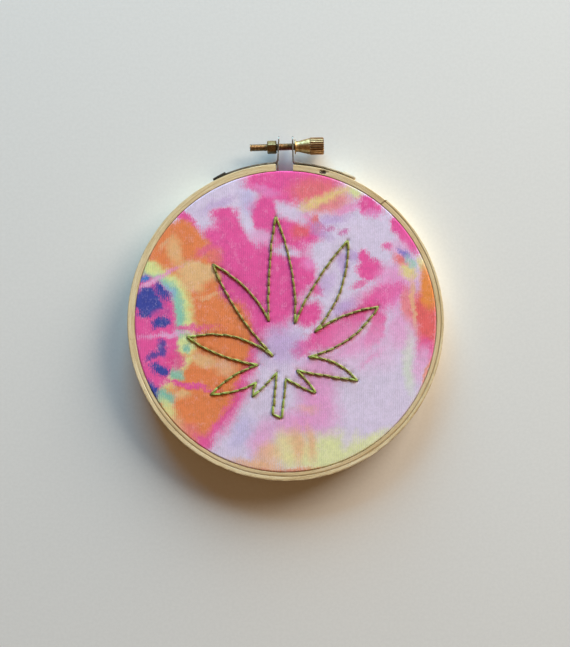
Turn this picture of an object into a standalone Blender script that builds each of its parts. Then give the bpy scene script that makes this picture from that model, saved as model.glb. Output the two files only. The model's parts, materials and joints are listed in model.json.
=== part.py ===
"""An embroidered cloth stretched in a wooden embroidery hoop that a thumb screw clamps.

The hoop lies on its back: the rings' axis is +Z, the screw is at the +Y side and the stitched face looks up.
Lengths are in metres. Angles on the rings run anticlockwise from +X, seen from the front.
"""

import math

import bmesh
import bpy
from mathutils import Matrix, Vector

MM = 0.001

# Clearance between neighbouring pieces
GAP = 0.3 * MM

# Outer ring, split at the top
OUTER_RING_RADIUS = 55.0 * MM
OUTER_RING_WALL = 2.6 * MM
OUTER_RING_DEPTH = 9.5 * MM
LEFT_END_X = -3.4 * MM
RIGHT_END_X = 2.6 * MM

# Cloth, drawn over the inner ring and down between the rings
CLOTH_THICKNESS = 1.0 * MM
CLOTH_SET_BACK = 0.3 * MM
CLOTH_SHOULDER = 1.5 * MM
CLOTH_INNER_SHOULDER = 0.5 * MM
CLOTH_HEM_HEIGHT = 0.5 * MM

# Inner ring
INNER_RING_WALL = 2.8 * MM

RING_EDGE_ROUNDING = 0.6 * MM
RING_STEPS = 96
CORNER_SEGMENTS = 2
SHOULDER_SEGMENTS = 4

# Lugs: a strip on the outer ring's outer face, bent up into an ear
LUG_THICKNESS = 0.55 * MM
LUG_WIDTH = 6.5 * MM
LUG_BEND = 1.5 * MM
LUG_TAB_THICKNESS = 0.65 * MM
LUG_TAB_ANGLE = math.radians(5)
EAR_TOP = 64.9 * MM
EAR_CORNER_RADIUS = 2.0 * MM
END_FLANGE_LENGTH = 2.2 * MM
# side: (ear x at the foot, ear x at the top, angle of the strip's far end from the top of the ring)
LUGS = {
    "left": (-2.75 * MM, -2.36 * MM, math.radians(27)),
    "right": (2.64 * MM, 2.45 * MM, math.radians(26)),
}

# Screw, turning in the ears and the nut. Its axis rises a little towards the head
SCREW_HEIGHT = 61.35 * MM
SCREW_TILT = math.radians(1.6)
ROD_RADIUS = 1.15 * MM
ROD_START = -12.5 * MM
ROD_CHAMFER = 0.25 * MM
COLLAR_START = 3.15 * MM
COLLAR_END = 3.6 * MM
COLLAR_RADIUS = 2.55 * MM
NECK_RADIUS = 1.7 * MM
NECK_END = 8.5 * MM
HEAD_RADIUS = 3.05 * MM
HEAD_END = 13.4 * MM
FLUTES = 16
FLUTE_DEPTH = 0.35 * MM
ROD_SIDES = 24

# Nut, held against the left ear
NUT_END = -3.15 * MM
NUT_LENGTH = 3.0 * MM
NUT_CORNER_RADIUS = 2.35 * MM
NUT_TURN = math.radians(15)
NUT_ROUNDING = 0.4 * MM

# Leaf outline in back stitch, laid out from the point where its leaflets would meet
LEAF_CENTRE = Vector((-0.9 * MM, -12.7 * MM))
THREAD_RADIUS = 0.45 * MM
PINCHED_SHARE = 0.65
STITCH_LENGTH = 3.1 * MM
STRAND_OVERRUN = 0.25 * MM
STRAND_LIFT = 0.05 * MM

# Leaflets clockwise from the lowest on the left: direction of the tip in degrees, length in mm, and how far
# the sides before and after the tip bow out from a straight line, in mm
LEAFLETS = (
    ("small_lower_left", 232, 17.0, 0.2, 0.4),
    ("lower_left", 207, 28.0, 1.0, 1.3),
    ("left", 168, 34.0, 1.5, 3.6),
    ("upper_left", 127, 40.5, 1.8, 2.4),
    ("top", 93, 49.0, 1.0, 2.2),
    ("upper_right", 61, 46.5, 1.5, 3.4),
    ("right", 28, 37.5, 1.6, 3.1),
    ("lower_right", -17, 27.0, 2.1, 0.1),
    ("small_lower_right", -47, 16.5, 0.5, 0.3),
)

# Notches clockwise from the stem's left side to its right side: direction in degrees and distance in mm
NOTCHES = (
    ("stem_left", 248, 5.6),
    ("below_lower_left", 223, 12.6),
    ("above_lower_left", 196, 9.0),
    ("above_left", 168, 3.5),
    ("left_of_top", 111, 13.7),
    ("right_of_top", 71, 12.8),
    ("above_right", 39, 14.4),
    ("below_right", 3, 9.0),
    ("below_lower_right", -42, 6.6),
    ("stem_right", -82, 7.4),
)

# The stem's foot: direction in degrees and distance in mm of its left and right corners
STEM_FOOT = ((260, 20.0), (269, 20.8))

# Worked out from the sizes above
OUTER_RING_BORE = OUTER_RING_RADIUS - OUTER_RING_WALL
CLOTH_RADIUS = OUTER_RING_BORE - GAP
CLOTH_BORE = CLOTH_RADIUS - CLOTH_THICKNESS
CLOTH_TOP = OUTER_RING_DEPTH - CLOTH_SET_BACK
INNER_RING_RADIUS = CLOTH_BORE - GAP
INNER_RING_DEPTH = CLOTH_TOP - CLOTH_THICKNESS - GAP
LUG_BACK_RADIUS = OUTER_RING_RADIUS + GAP
MID_DEPTH = OUTER_RING_DEPTH / 2
HOOP_CENTRE_Y = (OUTER_RING_RADIUS - EAR_TOP) / 2
HOLE_RADIUS = ROD_RADIUS + GAP

MATERIALS = {
    "pale_wood": ((0.66, 0.52, 0.30), 0.55, 0.0),
    "tie_dyed_jersey": ((0.67, 0.25, 0.42), 0.85, 0.0),
    "green_floss": ((0.22, 0.27, 0.045), 0.60, 0.0),
    "dark_steel": ((0.16, 0.15, 0.14), 0.40, 1.0),
    "brass": ((0.55, 0.40, 0.20), 0.35, 1.0),
}


def clear_scene():
    for obj in list(bpy.data.objects):
        bpy.data.objects.remove(obj, do_unlink=True)


def new_collection(name):
    collection = bpy.data.collections.new(name)
    bpy.context.scene.collection.children.link(collection)
    return collection


def material(name):
    colour, roughness, metallic = MATERIALS[name]
    found = bpy.data.materials.get(name) or bpy.data.materials.new(name)
    found.use_nodes = True
    shader = found.node_tree.nodes["Principled BSDF"]
    shader.inputs["Base Color"].default_value = (*colour, 1.0)
    shader.inputs["Roughness"].default_value = roughness
    shader.inputs["Metallic"].default_value = metallic
    return found


def add(collection, obj, parent=None, finish=None):
    collection.objects.link(obj)
    obj.parent = parent
    if finish:
        obj.data.materials.append(material(finish))
    return obj


def as_cutter(collection, obj, parent=None):
    add(collection, obj, parent)
    obj.hide_render = True
    obj.display_type = "WIRE"
    return obj


def empty(collection, name, location, parent=None, turn=0.0):
    marker = bpy.data.objects.new(name, None)
    marker.location = location
    marker.rotation_euler.z = turn
    marker.empty_display_size = 5 * MM
    return add(collection, marker, parent)


def evaluated_mesh(obj, name):
    """The object's mesh with its modifiers or bevel worked in, doubles merged and open ends capped."""
    graph = bpy.context.evaluated_depsgraph_get()
    mesh = bpy.data.meshes.new_from_object(obj.evaluated_get(graph))
    mesh.name = name
    bm = bmesh.new()
    bm.from_mesh(mesh)
    bmesh.ops.remove_doubles(bm, verts=bm.verts, dist=0.001 * MM)
    bmesh.ops.holes_fill(bm, edges=[edge for edge in bm.edges if edge.is_boundary])
    bmesh.ops.recalc_face_normals(bm, faces=bm.faces)
    bm.to_mesh(mesh)
    bm.free()
    return mesh


def made_mesh(collection, obj, name):
    """A mesh object that takes the place of a curve or of a turned shape."""
    bpy.context.view_layer.update()
    mesh = evaluated_mesh(obj, name)
    place = obj.matrix_world.copy()
    bpy.data.objects.remove(obj, do_unlink=True)
    made = bpy.data.objects.new(name, mesh)
    made.matrix_world = place
    collection.objects.link(made)
    return made


def boolean(obj, operation, other):
    modifier = obj.modifiers.new(operation.title(), "BOOLEAN")
    modifier.operation = operation
    modifier.solver = "EXACT"
    modifier.object = other


def shade_round(obj, angle=math.radians(35)):
    obj.data.shade_smooth()
    obj.data.set_sharp_from_angle(angle=angle)


def arc(centre, radius, start, end, segments):
    """Points of an arc, both ends included, with its angles in degrees."""
    steps = [math.radians(start + (end - start) * i / segments) for i in range(segments + 1)]
    return [(centre[0] + radius * math.cos(a), centre[1] + radius * math.sin(a)) for a in steps]


def rounded_section(bore, radius, depth):
    """A ring's section as (radius, height) points: down its outer side, then up its inner side."""
    r = RING_EDGE_ROUNDING
    return (
        arc((radius - r, depth - r), r, 90, 0, CORNER_SEGMENTS)
        + arc((radius - r, r), r, 0, -90, CORNER_SEGMENTS)
        + arc((bore + r, r), r, -90, -180, CORNER_SEGMENTS)
        + arc((bore + r, depth - r), r, 180, 90, CORNER_SEGMENTS)
    )


def turned(name, profile, steps, sweep=math.tau, closed=False):
    """An object turned around its own Z from (radius, height) points."""
    mesh = bpy.data.meshes.new(name)
    count = len(profile)
    edges = [(i, (i + 1) % count) for i in range(count if closed else count - 1)]
    mesh.from_pydata([(radius, 0, height) for radius, height in profile], edges, [])
    obj = bpy.data.objects.new(name, mesh)
    screw = obj.modifiers.new("Turned", "SCREW")
    screw.angle = sweep
    screw.steps = screw.render_steps = steps
    screw.use_merge_vertices = True
    screw.merge_threshold = 0.001 * MM
    return obj


def outline_curve(name, points, depth):
    """A flat outline in the XY plane, extruded evenly up and down to the given depth."""
    curve = bpy.data.curves.new(name, "CURVE")
    curve.dimensions = "2D"
    curve.fill_mode = "BOTH"
    curve.extrude = depth / 2
    spline = curve.splines.new("POLY")
    spline.points.add(len(points) - 1)
    for point, place in zip(spline.points, points):
        point.co = (*place, 0, 1)
    spline.use_cyclic_u = True
    return bpy.data.objects.new(name, curve)


def outer_ring(parts, hoop):
    left_angle = math.acos(LEFT_END_X / (OUTER_RING_RADIUS - OUTER_RING_WALL / 2))
    right_angle = math.acos(RIGHT_END_X / (OUTER_RING_RADIUS - OUTER_RING_WALL / 2))
    section = rounded_section(OUTER_RING_BORE, OUTER_RING_RADIUS, OUTER_RING_DEPTH)
    swept = turned("ring_sweep", section, RING_STEPS, math.tau - (left_angle - right_angle), closed=True)
    swept.rotation_euler.z = left_angle
    parts.objects.link(swept)
    ring = made_mesh(parts, swept, "outer_ring")
    ring.parent = hoop
    ring.data.materials.append(material("pale_wood"))
    shade_round(ring)


def inner_ring(parts, hoop):
    section = rounded_section(INNER_RING_RADIUS - INNER_RING_WALL, INNER_RING_RADIUS, INNER_RING_DEPTH)
    ring = turned("inner_ring", section, RING_STEPS, closed=True)
    add(parts, ring, hoop, "pale_wood")
    shade_round(ring)


def cloth(parts, hoop):
    under = CLOTH_TOP - CLOTH_THICKNESS
    outer_centre = (CLOTH_RADIUS - CLOTH_SHOULDER, CLOTH_TOP - CLOTH_SHOULDER)
    inner_centre = (CLOTH_BORE - CLOTH_INNER_SHOULDER, under - CLOTH_INNER_SHOULDER)
    profile = (
        [(0, CLOTH_TOP)]
        + arc(outer_centre, CLOTH_SHOULDER, 90, 0, SHOULDER_SEGMENTS)
        + [(CLOTH_RADIUS, CLOTH_HEM_HEIGHT), (CLOTH_BORE, CLOTH_HEM_HEIGHT)]
        + arc(inner_centre, CLOTH_INNER_SHOULDER, 0, 90, CORNER_SEGMENTS)
        + [(0, under)]
    )
    sheet = turned("cloth", profile, RING_STEPS)
    add(parts, sheet, hoop, "tie_dyed_jersey")
    shade_round(sheet)


def on_ring(radius, angle, side):
    """A point at a radius and at an angle away from the top of the ring, to the left or the right."""
    return Vector((side * radius * math.sin(angle), radius * math.cos(angle)))


def height_on_circle(x, radius):
    return math.sqrt(radius**2 - x**2)


def bend(start, corner, end, segments=4):
    """Points of a smooth bend from start to end, drawn towards the corner between them."""
    shares = [i / segments for i in range(segments + 1)]
    return [(1 - t) ** 2 * start + 2 * t * (1 - t) * corner + t**2 * end for t in shares]


def strip_side(side, foot_x, top_x, radius, start, lift):
    """One side of a lug's strip seen from the front: round the ring from its far end, then up its ear."""
    corner = Vector((foot_x, height_on_circle(foot_x, radius)))
    foot = math.asin(abs(foot_x) / radius) + lift / radius
    steps = max(3, round((start - foot) / math.radians(3)))
    along = [on_ring(radius, start + (foot - start) * i / steps, side) for i in range(steps + 1)]
    top = Vector((top_x, EAR_TOP + LUG_THICKNESS))
    up = corner + (top - corner).normalized() * lift
    return along[:-1] + bend(along[-1], corner, up) + [top]


def lug(parts, cutters, hoop, screw_axis, name, side):
    foot_x, top_x, far_angle = LUGS[name]
    half = LUG_THICKNESS / 2
    out = side * half
    front = LUG_BACK_RADIUS + LUG_THICKNESS
    outside = strip_side(side, foot_x + out, top_x + out, front, far_angle - LUG_TAB_ANGLE, LUG_BEND)
    tab = [
        on_ring(front + LUG_TAB_THICKNESS, far_angle, side),
        on_ring(front + LUG_TAB_THICKNESS, far_angle - LUG_TAB_ANGLE, side),
    ]
    gap_side_x = foot_x - out
    inside = [Vector((top_x - out, EAR_TOP + LUG_THICKNESS))]
    if name == "left":
        flange_foot = front - END_FLANGE_LENGTH - LUG_THICKNESS
        back_x = gap_side_x - LUG_THICKNESS
        inside += [
            Vector((gap_side_x, front)),
            Vector((gap_side_x, flange_foot)),
            Vector((back_x, flange_foot)),
            Vector((back_x, height_on_circle(back_x, LUG_BACK_RADIUS))),
        ]
        start = math.asin(abs(back_x) / LUG_BACK_RADIUS)
    else:
        inside.append(Vector((gap_side_x, height_on_circle(gap_side_x, LUG_BACK_RADIUS))))
        start = math.asin(abs(gap_side_x) / LUG_BACK_RADIUS)
    steps = round((far_angle - start) / math.radians(3))
    inside += [
        on_ring(LUG_BACK_RADIUS, start + (far_angle - start) * i / steps, side) for i in range(1, steps + 1)
    ]
    strip = outline_curve(f"{name}_strip", tab + outside + inside, LUG_WIDTH + 2 * MM)
    strip.location = (0, 0, MID_DEPTH)
    parts.objects.link(strip)
    piece = made_mesh(parts, strip, f"{name}_lug")
    piece.parent = hoop
    piece.data.materials.append(material("dark_steel"))
    boolean(piece, "INTERSECT", ear_form(cutters, hoop, name, side))
    boolean(piece, "DIFFERENCE", screw_hole(cutters, screw_axis, f"{name}_ear_hole"))
    shade_round(piece)


def ear_form(cutters, hoop, name, side):
    """The strip's width, with rounded corners at the top of its ear."""
    mesh = bpy.data.meshes.new(f"{name}_ear_form")
    bm = bmesh.new()
    bmesh.ops.create_cube(bm, size=1)
    across = 30 * MM
    low = 45 * MM
    bmesh.ops.scale(bm, vec=(across, EAR_TOP - low, LUG_WIDTH), verts=bm.verts)
    bmesh.ops.translate(bm, vec=(side * across / 2, (EAR_TOP + low) / 2, MID_DEPTH), verts=bm.verts)
    top = [
        edge
        for edge in bm.edges
        if all(vert.co.y > EAR_TOP - MM for vert in edge.verts)
        and abs(edge.verts[0].co.x - edge.verts[1].co.x) > MM
    ]
    bmesh.ops.bevel(bm, geom=top, offset=EAR_CORNER_RADIUS, segments=4, profile=0.5, affect="EDGES")
    bm.to_mesh(mesh)
    bm.free()
    return as_cutter(cutters, bpy.data.objects.new(mesh.name, mesh), hoop)


def screw_hole(cutters, screw_axis, name):
    mesh = bpy.data.meshes.new(name)
    bm = bmesh.new()
    bmesh.ops.create_cone(
        bm, cap_ends=True, segments=ROD_SIDES, radius1=HOLE_RADIUS, radius2=HOLE_RADIUS, depth=30 * MM
    )
    bm.transform(Matrix.Rotation(math.pi / 2, 4, "Y"))
    bm.to_mesh(mesh)
    bm.free()
    return as_cutter(cutters, bpy.data.objects.new(name, mesh), screw_axis)


def nut(parts, cutters, screw_axis):
    mesh = bpy.data.meshes.new("nut")
    bm = bmesh.new()
    bmesh.ops.create_cone(
        bm, cap_ends=True, segments=6, radius1=NUT_CORNER_RADIUS, radius2=NUT_CORNER_RADIUS, depth=NUT_LENGTH
    )
    rims = [edge for edge in bm.edges if abs(edge.verts[0].co.z - edge.verts[1].co.z) < NUT_LENGTH / 2]
    bmesh.ops.bevel(bm, geom=rims, offset=NUT_ROUNDING, segments=2, profile=0.5, affect="EDGES")
    bm.transform(Matrix.Rotation(NUT_TURN, 4, "X") @ Matrix.Rotation(math.pi / 2, 4, "Y"))
    bm.to_mesh(mesh)
    bm.free()
    piece = bpy.data.objects.new("nut", mesh)
    piece.location.x = NUT_END - NUT_LENGTH / 2
    add(parts, piece, screw_axis, "brass")
    boolean(piece, "DIFFERENCE", screw_hole(cutters, screw_axis, "nut_hole"))


def flute_outline():
    """The fluted head's section: flat ridges with narrower grooves between them."""
    points = []
    for flute in range(FLUTES):
        start = math.tau * flute / FLUTES
        for share, radius in (
            (0.00, HEAD_RADIUS),
            (0.50, HEAD_RADIUS),
            (0.65, HEAD_RADIUS - FLUTE_DEPTH),
            (0.85, HEAD_RADIUS - FLUTE_DEPTH),
        ):
            angle = start + share * math.tau / FLUTES
            points.append((radius * math.cos(angle), radius * math.sin(angle)))
    return points


def thumb_screw(parts, cutters, screw_axis):
    """Rod, collar and neck turned in one, joined to the fluted head."""
    overlap = 0.2 * MM
    profile = [
        (0, NECK_END + overlap),
        (HEAD_RADIUS - FLUTE_DEPTH, NECK_END + overlap),
        (HEAD_RADIUS - FLUTE_DEPTH / 2, NECK_END),
        (NECK_RADIUS + 0.1 * MM, COLLAR_END + 0.9 * MM),
        (NECK_RADIUS, COLLAR_END),
        (COLLAR_RADIUS, COLLAR_END),
        (COLLAR_RADIUS, COLLAR_START),
        (ROD_RADIUS, COLLAR_START),
        (ROD_RADIUS, ROD_START + ROD_CHAMFER),
        (ROD_RADIUS - ROD_CHAMFER, ROD_START),
        (0, ROD_START),
    ]
    lying = Matrix.Rotation(math.pi / 2, 4, "Y")
    shank = turned("shank", profile, ROD_SIDES)
    parts.objects.link(shank)
    screw = made_mesh(parts, shank, "thumb_screw")
    screw.data.transform(lying)
    screw.parent = screw_axis
    screw.data.materials.append(material("brass"))
    grip = outline_curve("grip_outline", flute_outline(), HEAD_END - NECK_END)
    cutters.objects.link(grip)
    head = made_mesh(cutters, grip, "fluted_head")
    head.data.transform(lying @ Matrix.Translation((0, 0, (HEAD_END + NECK_END) / 2)))
    head.parent = screw_axis
    head.hide_render = True
    head.display_type = "WIRE"
    boolean(screw, "UNION", head)
    shade_round(screw)


def polar(direction, distance):
    angle = math.radians(direction)
    return LEAF_CENTRE + distance * MM * Vector((math.cos(angle), math.sin(angle)))


def bowed(start, end, bow):
    """A side of a leaflet from start to end, as a function of its share. It bows to the left as it runs."""
    run = end - start
    left = Vector((-run.y, run.x)).normalized()
    corner = (start + end) / 2 + 2 * bow * MM * left
    return lambda share: (1 - share) ** 2 * start + 2 * share * (1 - share) * corner + share**2 * end


def leaf_sides():
    """Each run of stitches of the leaf outline, clockwise round the leaf from the stem's left side."""
    sides = []
    notches = [polar(direction, distance) for _, direction, distance in NOTCHES]
    for (_, direction, length, bow_in, bow_out), before, after in zip(LEAFLETS, notches, notches[1:]):
        tip = polar(direction, length)
        sides += [bowed(before, tip, bow_in), bowed(tip, after, bow_out)]
    left_foot, right_foot = (polar(*corner) for corner in STEM_FOOT)
    sides += [bowed(notches[-1], right_foot, 0), bowed(right_foot, left_foot, 0)]
    sides.append(bowed(left_foot, notches[0], 0.1))
    return sides


def run_length(side, samples=24):
    points = [side(i / samples) for i in range(samples + 1)]
    return sum((after - before).length for before, after in zip(points, points[1:]))


def add_strand(curve, side):
    """A run of back stitches: thick in the middle of each stitch, pinched where the thread dives."""
    length = run_length(side)
    halves = 2 * max(1, round(length / STITCH_LENGTH))
    overrun = STRAND_OVERRUN / length
    spline = curve.splines.new("POLY")
    spline.points.add(halves)
    for half, point in enumerate(spline.points):
        share = -overrun + (1 + 2 * overrun) * half / halves
        point.co = (*side(share), 0, 1)
        point.radius = 1.0 if half % 2 else PINCHED_SHARE


def strands(collection, name, sides, lift):
    """Runs of stitches that don't meet, as one mesh object of separate tubes."""
    curve = bpy.data.curves.new(name, "CURVE")
    curve.dimensions = "3D"
    curve.bevel_depth = THREAD_RADIUS
    curve.bevel_resolution = 1
    curve.use_fill_caps = True
    for side in sides:
        add_strand(curve, side)
    lines = bpy.data.objects.new(f"{name}_lines", curve)
    lines.location.z = CLOTH_TOP + GAP + THREAD_RADIUS + lift
    collection.objects.link(lines)
    return made_mesh(collection, lines, name)


def leaf_stitching(parts, cutters, hoop):
    """Neighbouring runs meet at the tips and notches, so every second run is joined with those between."""
    sides = leaf_sides()
    closing = sides.pop()
    piece = strands(parts, "leaf_stitching", sides[0::2], 0)
    piece.parent = hoop
    piece.data.materials.append(material("green_floss"))
    others = (("strands_between", sides[1::2]), ("strand_closing", [closing]))
    for number, (name, runs) in enumerate(others, 1):
        joined = strands(cutters, name, runs, number * STRAND_LIFT)
        joined.parent = hoop
        joined.hide_render = True
        joined.display_type = "WIRE"
        boolean(piece, "UNION", joined)
    shade_round(piece)


def build():
    clear_scene()
    parts = new_collection("hoop_embroidery")
    cutters = new_collection("cutters")
    hoop = empty(parts, "hoop_centre", (0, HOOP_CENTRE_Y, 0))
    screw_axis = empty(parts, "screw_axis", (0, SCREW_HEIGHT, MID_DEPTH), hoop, SCREW_TILT)
    outer_ring(parts, hoop)
    inner_ring(parts, hoop)
    cloth(parts, hoop)
    lug(parts, cutters, hoop, screw_axis, "left", -1)
    lug(parts, cutters, hoop, screw_axis, "right", 1)
    nut(parts, cutters, screw_axis)
    thumb_screw(parts, cutters, screw_axis)
    leaf_stitching(parts, cutters, hoop)


build()
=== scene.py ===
"""Looks of an embroidered, tie-dyed jersey that is stretched in a wooden hoop and clamped by a brass thumb screw.

Lengths are in metres, apart from the tables and the shader maths, which are in millimetres from the hoop's centre.
Angles on the rings run anticlockwise from +X, seen from the front.
"""

import json
import math
import random

import bmesh
import bpy
import numpy as np
from mathutils import Matrix, Vector


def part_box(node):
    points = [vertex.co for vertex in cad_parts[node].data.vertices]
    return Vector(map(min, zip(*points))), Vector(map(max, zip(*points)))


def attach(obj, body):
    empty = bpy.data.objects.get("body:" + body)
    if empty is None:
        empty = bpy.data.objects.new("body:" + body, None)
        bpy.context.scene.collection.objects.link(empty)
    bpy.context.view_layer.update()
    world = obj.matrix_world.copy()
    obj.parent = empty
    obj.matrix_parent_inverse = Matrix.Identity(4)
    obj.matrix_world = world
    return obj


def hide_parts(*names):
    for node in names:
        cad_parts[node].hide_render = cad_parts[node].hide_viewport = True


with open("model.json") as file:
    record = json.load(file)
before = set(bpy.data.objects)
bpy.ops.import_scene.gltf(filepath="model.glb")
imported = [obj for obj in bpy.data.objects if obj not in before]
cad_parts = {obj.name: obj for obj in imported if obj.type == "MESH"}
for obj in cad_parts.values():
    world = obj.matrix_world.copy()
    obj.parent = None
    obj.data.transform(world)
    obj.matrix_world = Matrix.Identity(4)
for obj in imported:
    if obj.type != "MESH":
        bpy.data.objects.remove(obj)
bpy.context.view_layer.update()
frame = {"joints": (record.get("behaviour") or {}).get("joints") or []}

MM = 0.001

# Places that the frame gives
JOINT = frame["joints"][0]
SCREW_HEIGHT = 61.35 * MM
AXIS_POINT = Vector(JOINT["pos_m"])
AXIS_TILT = math.atan2(JOINT["axis"][1], JOINT["axis"][0])
HOOP_CENTRE = Vector((0, AXIS_POINT.y - SCREW_HEIGHT, 0))
SCREW_PLACE = Matrix.Translation(AXIS_POINT) @ Matrix.Rotation(AXIS_TILT, 4, "Z")
RING_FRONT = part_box("outer_ring")[1].z
INNER_RING_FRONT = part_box("inner_ring")[1].z
CLOTH_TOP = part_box("cloth")[1].z + 0.35 * MM
CLOTH_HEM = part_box("cloth")[0].z
MID_DEPTH = AXIS_POINT.z

# Rings
OUTER_BORE = 52.4 * MM
OUTER_RADIUS = 55.0 * MM
OUTER_START = math.radians(93.62)
OUTER_SWEEP = math.radians(353.57)
INNER_BORE = 48.0 * MM
INNER_RADIUS = 50.8 * MM
RING_ROUNDING = 0.2 * MM
RING_STEPS = 360
FRONT_CUTS = 9
RIM_SHARE = RING_ROUNDING / (OUTER_RADIUS - OUTER_BORE)

# Cloth
CLOTH_RADIUS = 52.34 * MM
CLOTH_SHOULDER = 0.5 * MM
CLOTH_THICKNESS = 0.8 * MM
CLOTH_CELLS = 176
SHOULDER_STEPS = 5
SKIRT_STEPS = 6
HOLE_REACH = 0.55 * MM
HOLE_DEPTH = 0.35 * MM
FURROW_REACH = 0.9 * MM
FURROW_DEPTH = 0.10 * MM

# Stitches
LEAF_CENTRE = Vector((-0.9 * MM, -12.7 * MM))
STITCH_LENGTH = 3.1 * MM
THREAD_RADIUS = 0.43 * MM
PLIES = 3
PLY_SIDES = 7
STITCH_STATIONS = 14
STITCH_OVERRUN = 0.22 * MM

# Lugs: a strip on the outer ring that is bent up into an ear
STRIP_THICKNESS = 0.45 * MM
STRIP_WIDTH = 6.5 * MM
STRIP_RADIUS = 55.3 * MM + STRIP_THICKNESS / 2
STRIP_BEND = 1.5 * MM
TAB_THICKNESS = 0.6 * MM
TAB_ANGLE = math.radians(5)
EAR_TOP = 64.9 * MM
EAR_ROUNDING = 2.0 * MM
FLANGE_LENGTH = 2.2 * MM
HOLE_RADIUS = 1.45 * MM
# side: (direction, ear x at the foot, ear x at the top, angle of the strip's far end from the top of the ring,
# how far the tab's far end is pressed into the strip)
LUGS = {
    "left": (-1, -2.75 * MM, -2.36 * MM, math.radians(27), 0.42 * MM),
    "right": (1, 2.64 * MM, 2.45 * MM, math.radians(26), 0.50 * MM),
}

# Screw and nut, along the screw's axis
ROD_RADIUS = 1.24 * MM
ROD_START = -12.5 * MM
THREAD_PITCH = 0.5 * MM
THREAD_DEPTH = 0.16 * MM
COLLAR_START = 3.15 * MM
COLLAR_END = 3.6 * MM
COLLAR_RADIUS = 2.55 * MM
NECK_RADIUS = 1.85 * MM
NECK_END = 8.5 * MM
HEAD_RADIUS = 3.05 * MM
HEAD_END = 13.4 * MM
FLUTES = 22
FLUTE_DEPTH = 0.30 * MM
NUT_END = -3.15 * MM
NUT_LENGTH = 3.3 * MM
NUT_CORNER_RADIUS = 2.35 * MM
NUT_TURN = math.radians(15)

# Camera: what it covers from top to bottom, and how it looks down on the hoop
VIEW_HEIGHT = 224.5 * MM
VIEW_CENTRE = HOOP_CENTRE + Vector((-0.2 * MM, -0.8 * MM, RING_FRONT))
CAMERA_DISTANCE = 0.62
CAMERA_TILT = math.radians(2)
SENSOR_HEIGHT = 24.0

# Leaflets clockwise from the lowest on the left: direction of the tip in degrees, length in mm, and how far
# the sides before and after the tip bow out from a straight line, in mm
LEAFLETS = (
    ("small_lower_left", 232, 17.0, 0.2, 0.4),
    ("lower_left", 207, 28.0, 1.0, 1.3),
    ("left", 168, 34.0, 1.5, 3.6),
    ("upper_left", 127, 40.5, 1.8, 2.4),
    ("top", 93, 49.0, 1.0, 2.2),
    ("upper_right", 61, 46.5, 1.5, 3.4),
    ("right", 28, 37.5, 1.6, 3.1),
    ("lower_right", -17, 27.0, 2.1, 0.1),
    ("small_lower_right", -47, 16.5, 0.5, 0.3),
)

# Notches clockwise from the stem's left side to its right side: direction in degrees and distance in mm
NOTCHES = (
    ("stem_left", 248, 5.6),
    ("below_lower_left", 223, 12.6),
    ("above_lower_left", 196, 9.0),
    ("above_left", 168, 3.5),
    ("left_of_top", 111, 13.7),
    ("right_of_top", 71, 12.8),
    ("above_right", 39, 14.4),
    ("below_right", 3, 9.0),
    ("below_lower_right", -42, 6.6),
    ("stem_right", -82, 7.4),
)

# The stem's foot: direction in degrees and distance in mm of its left and right corners
STEM_FOOT = ((260, 20.0), (269, 20.8))

# Dyes, as sRGB colours of the dyed jersey in even light
DYES = {
    "lavender": (203, 190, 214),
    "blue_lavender": (182, 172, 212),
    "violet": (176, 140, 196),
    "hot_pink": (228, 82, 149),
    "deep_pink": (214, 72, 134),
    "rose": (222, 134, 188),
    "pale_rose": (214, 162, 200),
    "coral": (234, 112, 112),
    "red_coral": (232, 96, 96),
    "orange": (226, 124, 74),
    "bright_orange": (240, 132, 66),
    "peach": (228, 168, 128),
    "tan": (220, 174, 124),
    "yellow": (216, 200, 130),
    "lime_yellow": (208, 212, 144),
    "pale_green": (198, 204, 190),
    "teal": (118, 178, 160),
    "sky": (128, 160, 204),
    "navy": (58, 68, 150),
    "magenta": (190, 76, 150),
    "straw": (230, 192, 120),
    "slate_violet": (112, 104, 186),
    "sea_green": (140, 192, 172),
    "azure": (58, 116, 188),
}

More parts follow.
